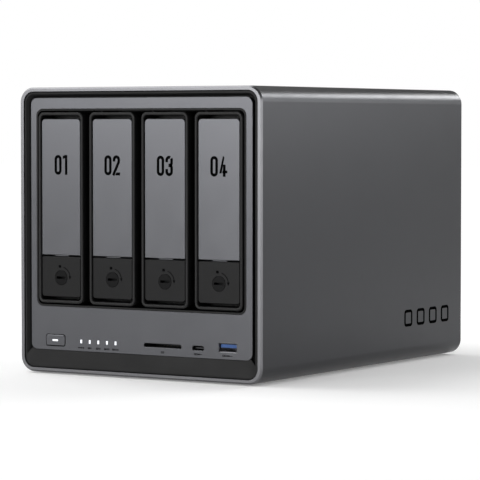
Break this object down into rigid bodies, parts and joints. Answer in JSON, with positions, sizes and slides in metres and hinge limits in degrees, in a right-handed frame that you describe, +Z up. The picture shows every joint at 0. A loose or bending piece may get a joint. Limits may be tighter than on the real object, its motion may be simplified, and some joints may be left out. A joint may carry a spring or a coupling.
{
  "type": "nas enclosure",
  "caption": "Desktop network storage enclosure: rounded metal sleeve, upright drive trays with hinged handles, latches and key locks, control strip, rear fan and sockets.",
  "frame": {"origin": "on the floor under the middle of the box, at the feet's undersides", "axes": "+X to the right seen from the front, the front faces -Y, +Z up"},
  "size_m": [0.178, 0.257, 0.1784],
  "materials": {
    "sleeve_aluminium": "satin anodised dark grey",
    "face_grey": "satin grey paint",
    "black_plastic": "fine moulded texture",
    "tray_plastic": "fine moulded texture",
    "lock_black": "semi-gloss black",
    "clip_plastic": "moulded nylon",
    "light_lens": "translucent white light guide",
    "circuit_board": "solder-mask green board",
    "socket_plastic": "black connector plastic",
    "usb_blue": "blue connector tongue",
    "plated_steel": "nickel-plated sheet",
    "cage_steel": "zinc-plated sheet",
    "screw_steel": "black-zinc screws",
    "heatsink_aluminium": "extruded, bare",
    "foot_rubber": "soft rubber",
    "fan_plastic": "glass-filled black plastic",
    "magnet_nickel": "nickel-plated magnets"
  },
  "bodies": {
    "enclosure": {"outer_sleeve": "sleeve_aluminium", "rubber_feet": "foot_rubber", "bottom_cover": "black_plastic", "bottom_cover_screws": "screw_steel", "front_frame": "black_plastic", "faceplate": "face_grey", "power_switch": "socket_plastic", "status_light_pipes": "light_lens", "front_board": "circuit_board", "card_reader": "socket_plastic", "usb_c_port": "plated_steel", "usb_a_shells": "plated_steel", "usb_a_tongues": "usb_blue", "drive_cage": "cage_steel", "cage_dividers": "cage_steel", "bay_guides": "black_plastic", "backplane_board": "circuit_board", "sata_connectors": "socket_plastic", "main_board": "circuit_board", "board_standoffs": "plated_steel", "processor_heatsink": "heatsink_aluminium", "board_sockets": "socket_plastic", "memory_module": "circuit_board", "rear_panel": "black_plastic", "rear_panel_screws": "screw_steel", "fan_screws": "screw_steel", "lan_ports": "plated_steel", "hdmi_port": "plated_steel", "power_inlet": "socket_plastic", "fan_frame": "fan_plastic"},
    "power_button": {"power_button": "face_grey", "power_light_lens": "light_lens"},
    "reset_button": {"reset_button": "socket_plastic"},
    "fan_rotor": {"fan_rotor": "fan_plastic"},
    "fan_filter": {"fan_filter": "black_plastic", "filter_magnets": "magnet_nickel"},
    "tray_1": {"tray_1_bezel": "tray_plastic", "tray_1_carrier": "tray_plastic", "tray_1_drive_clips": "clip_plastic"},
    "tray_1_handle": {"tray_1_handle": "face_grey"},
    "tray_1_latch": {"tray_1_latch": "tray_plastic"},
    "tray_1_lock": {"tray_1_lock": "lock_black"},
    "tray_2": {"tray_2_bezel": "tray_plastic", "tray_2_carrier": "tray_plastic", "tray_2_drive_clips": "clip_plastic"},
    "tray_2_handle": {"tray_2_handle": "face_grey"},
    "tray_2_latch": {"tray_2_latch": "tray_plastic"},
    "tray_2_lock": {"tray_2_lock": "lock_black"},
    "tray_3": {"tray_3_bezel": "tray_plastic", "tray_3_carrier": "tray_plastic", "tray_3_drive_clips": "clip_plastic"},
    "tray_3_handle": {"tray_3_handle": "face_grey"},
    "tray_3_latch": {"tray_3_latch": "tray_plastic"},
    "tray_3_lock": {"tray_3_lock": "lock_black"},
    "tray_4": {"tray_4_bezel": "tray_plastic", "tray_4_carrier": "tray_plastic", "tray_4_drive_clips": "clip_plastic"},
    "tray_4_handle": {"tray_4_handle": "face_grey"},
    "tray_4_latch": {"tray_4_latch": "tray_plastic"},
    "tray_4_lock": {"tray_4_lock": "lock_black"}
  },
  "joints": [
    {"name": "tray_1_slide", "type": "slide", "parent": "enclosure", "child": "tray_1", "axis": [0, -1, 0], "range_m": [0, 0.19]},
    {"name": "tray_1_handle_hinge", "type": "hinge", "parent": "tray_1", "child": "tray_1_handle", "pos_m": [-0.05813, -0.124, 0.15485], "axis": [-1, 0, 0], "range_deg": [0, 50]},
    {"name": "tray_1_latch_press", "type": "slide", "parent": "tray_1", "child": "tray_1_latch", "axis": [0, 1, 0], "range_m": [0, 0.002], "stiffness_N_per_m": 500, "springref_m": -0.001},
    {"name": "tray_1_lock_turn", "type": "hinge", "parent": "tray_1_latch", "child": "tray_1_lock", "pos_m": [-0.05813, -0.1274, 0.06025], "axis": [0, -1, 0], "range_deg": [0, 90]},
    {"name": "tray_2_slide", "type": "slide", "parent": "enclosure", "child": "tray_2", "axis": [0, -1, 0], "range_m": [0, 0.19]},
    {"name": "tray_2_handle_hinge", "type": "hinge", "parent": "tray_2", "child": "tray_2_handle", "pos_m": [-0.01937, -0.124, 0.15485], "axis": [-1, 0, 0], "range_deg": [0, 50]},
    {"name": "tray_2_latch_press", "type": "slide", "parent": "tray_2", "child": "tray_2_latch", "axis": [0, 1, 0], "range_m": [0, 0.002], "stiffness_N_per_m": 500, "springref_m": -0.001},
    {"name": "tray_2_lock_turn", "type": "hinge", "parent": "tray_2_latch", "child": "tray_2_lock", "pos_m": [-0.01937, -0.1274, 0.06025], "axis": [0, -1, 0], "range_deg": [0, 90]},
    {"name": "tray_3_slide", "type": "slide", "parent": "enclosure", "child": "tray_3", "axis": [0, -1, 0], "range_m": [0, 0.19]},
    {"name": "tray_3_handle_hinge", "type": "hinge", "parent": "tray_3", "child": "tray_3_handle", "pos_m": [0.01937, -0.124, 0.15485], "axis": [-1, 0, 0], "range_deg": [0, 50]},
    {"name": "tray_3_latch_press", "type": "slide", "parent": "tray_3", "child": "tray_3_latch", "axis": [0, 1, 0], "range_m": [0, 0.002], "stiffness_N_per_m": 500, "springref_m": -0.001},
    {"name": "tray_3_lock_turn", "type": "hinge", "parent": "tray_3_latch", "child": "tray_3_lock", "pos_m": [0.01937, -0.1274, 0.06025], "axis": [0, -1, 0], "range_deg": [0, 90]},
    {"name": "tray_4_slide", "type": "slide", "parent": "enclosure", "child": "tray_4", "axis": [0, -1, 0], "range_m": [0, 0.19]},
    {"name": "tray_4_handle_hinge", "type": "hinge", "parent": "tray_4", "child": "tray_4_handle", "pos_m": [0.05813, -0.124, 0.15485], "axis": [-1, 0, 0], "range_deg": [0, 50]},
    {"name": "tray_4_latch_press", "type": "slide", "parent": "tray_4", "child": "tray_4_latch", "axis": [0, 1, 0], "range_m": [0, 0.002], "stiffness_N_per_m": 500, "springref_m": -0.001},
    {"name": "tray_4_lock_turn", "type": "hinge", "parent": "tray_4_latch", "child": "tray_4_lock", "pos_m": [0.05813, -0.1274, 0.06025], "axis": [0, -1, 0], "range_deg": [0, 90]},
    {"name": "power_button_press", "type": "slide", "parent": "enclosure", "child": "power_button", "axis": [0, 1, 0], "range_m": [0, 0.001], "stiffness_N_per_m": 500, "springref_m": -0.0005},
    {"name": "reset_button_press", "type": "slide", "parent": "enclosure", "child": "reset_button", "axis": [0, -1, 0], "range_m": [0, 0.0006], "stiffness_N_per_m": 400, "springref_m": -0.0005},
    {"name": "fan_spin", "type": "hinge", "parent": "enclosure", "child": "fan_rotor", "pos_m": [0, 0.1, 0.10435], "axis": [0, 1, 0], "continuous": true},
    {"name": "filter_pull", "type": "slide", "parent": "enclosure", "child": "fan_filter", "axis": [0, 1, 0], "range_m": [0, 0.06]}
  ]
}
